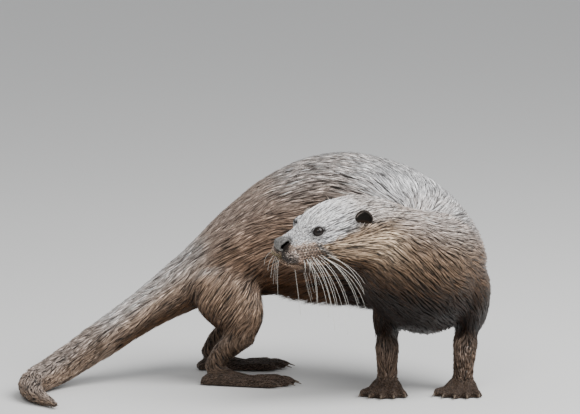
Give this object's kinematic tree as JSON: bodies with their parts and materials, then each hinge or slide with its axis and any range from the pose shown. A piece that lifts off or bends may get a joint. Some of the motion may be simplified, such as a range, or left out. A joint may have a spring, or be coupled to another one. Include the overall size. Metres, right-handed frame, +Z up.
{
  "type": "eurasian otter",
  "caption": "Life-size standing Eurasian otter with an arched back, its foreparts and head turned round to its right side.",
  "frame": {"origin": "middle of the model's outline, on the floor", "axes": "+X from the rump to the shoulders, -Y towards the side the animal looks along, +Z up"},
  "size_m": [0.5148, 0.3172, 0.2514],
  "materials": {
    "fur_back": "wet grey-brown fur",
    "fur_face": "short wet silver-grey fur",
    "fur_throat": "wet golden-brown fur",
    "fur_paw": "short wet dark brown fur and webbed skin",
    "bare_nose": "damp bare dark grey skin",
    "eye_wet": "wet black-brown eye",
    "claw_horn": "dull brown horn"
  },
  "bodies": {
    "root": {"chest": "fur_back", "claw_forepaw_left_1": "claw_horn", "claw_forepaw_left_2": "claw_horn", "claw_forepaw_left_3": "claw_horn", "claw_forepaw_left_4": "claw_horn", "claw_forepaw_left_5": "claw_horn", "claw_forepaw_right_1": "claw_horn", "claw_forepaw_right_2": "claw_horn", "claw_forepaw_right_3": "claw_horn", "claw_forepaw_right_4": "claw_horn", "claw_forepaw_right_5": "claw_horn", "claw_hindpaw_left_1": "claw_horn", "claw_hindpaw_left_2": "claw_horn", "claw_hindpaw_left_3": "claw_horn", "claw_hindpaw_left_4": "claw_horn", "claw_hindpaw_left_5": "claw_horn", "claw_hindpaw_right_1": "claw_horn", "claw_hindpaw_right_2": "claw_horn", "claw_hindpaw_right_3": "claw_horn", "claw_hindpaw_right_4": "claw_horn", "claw_hindpaw_right_5": "claw_horn", "ear_left": "fur_face", "ear_right": "fur_face", "eye_left": "eye_wet", "eye_right": "eye_wet", "forearm_left": "fur_paw", "forearm_right": "fur_paw", "forepaw_left": "fur_paw", "forepaw_right": "fur_paw", "head": "fur_face", "hindpaw_left": "fur_paw", "hindpaw_right": "fur_paw", "loin": "fur_back", "lower_jaw": "fur_face", "neck": "fur_throat", "nose": "bare_nose", "rump": "fur_back", "shank_left": "fur_paw", "shank_right": "fur_paw", "shoulders": "fur_back", "tail_base": "fur_back", "tail_middle": "fur_back", "tail_tip": "fur_back", "thigh_left": "fur_back", "thigh_right": "fur_back", "upper_arm_left": "fur_back", "upper_arm_right": "fur_back"}
  },
  "joints": []
}
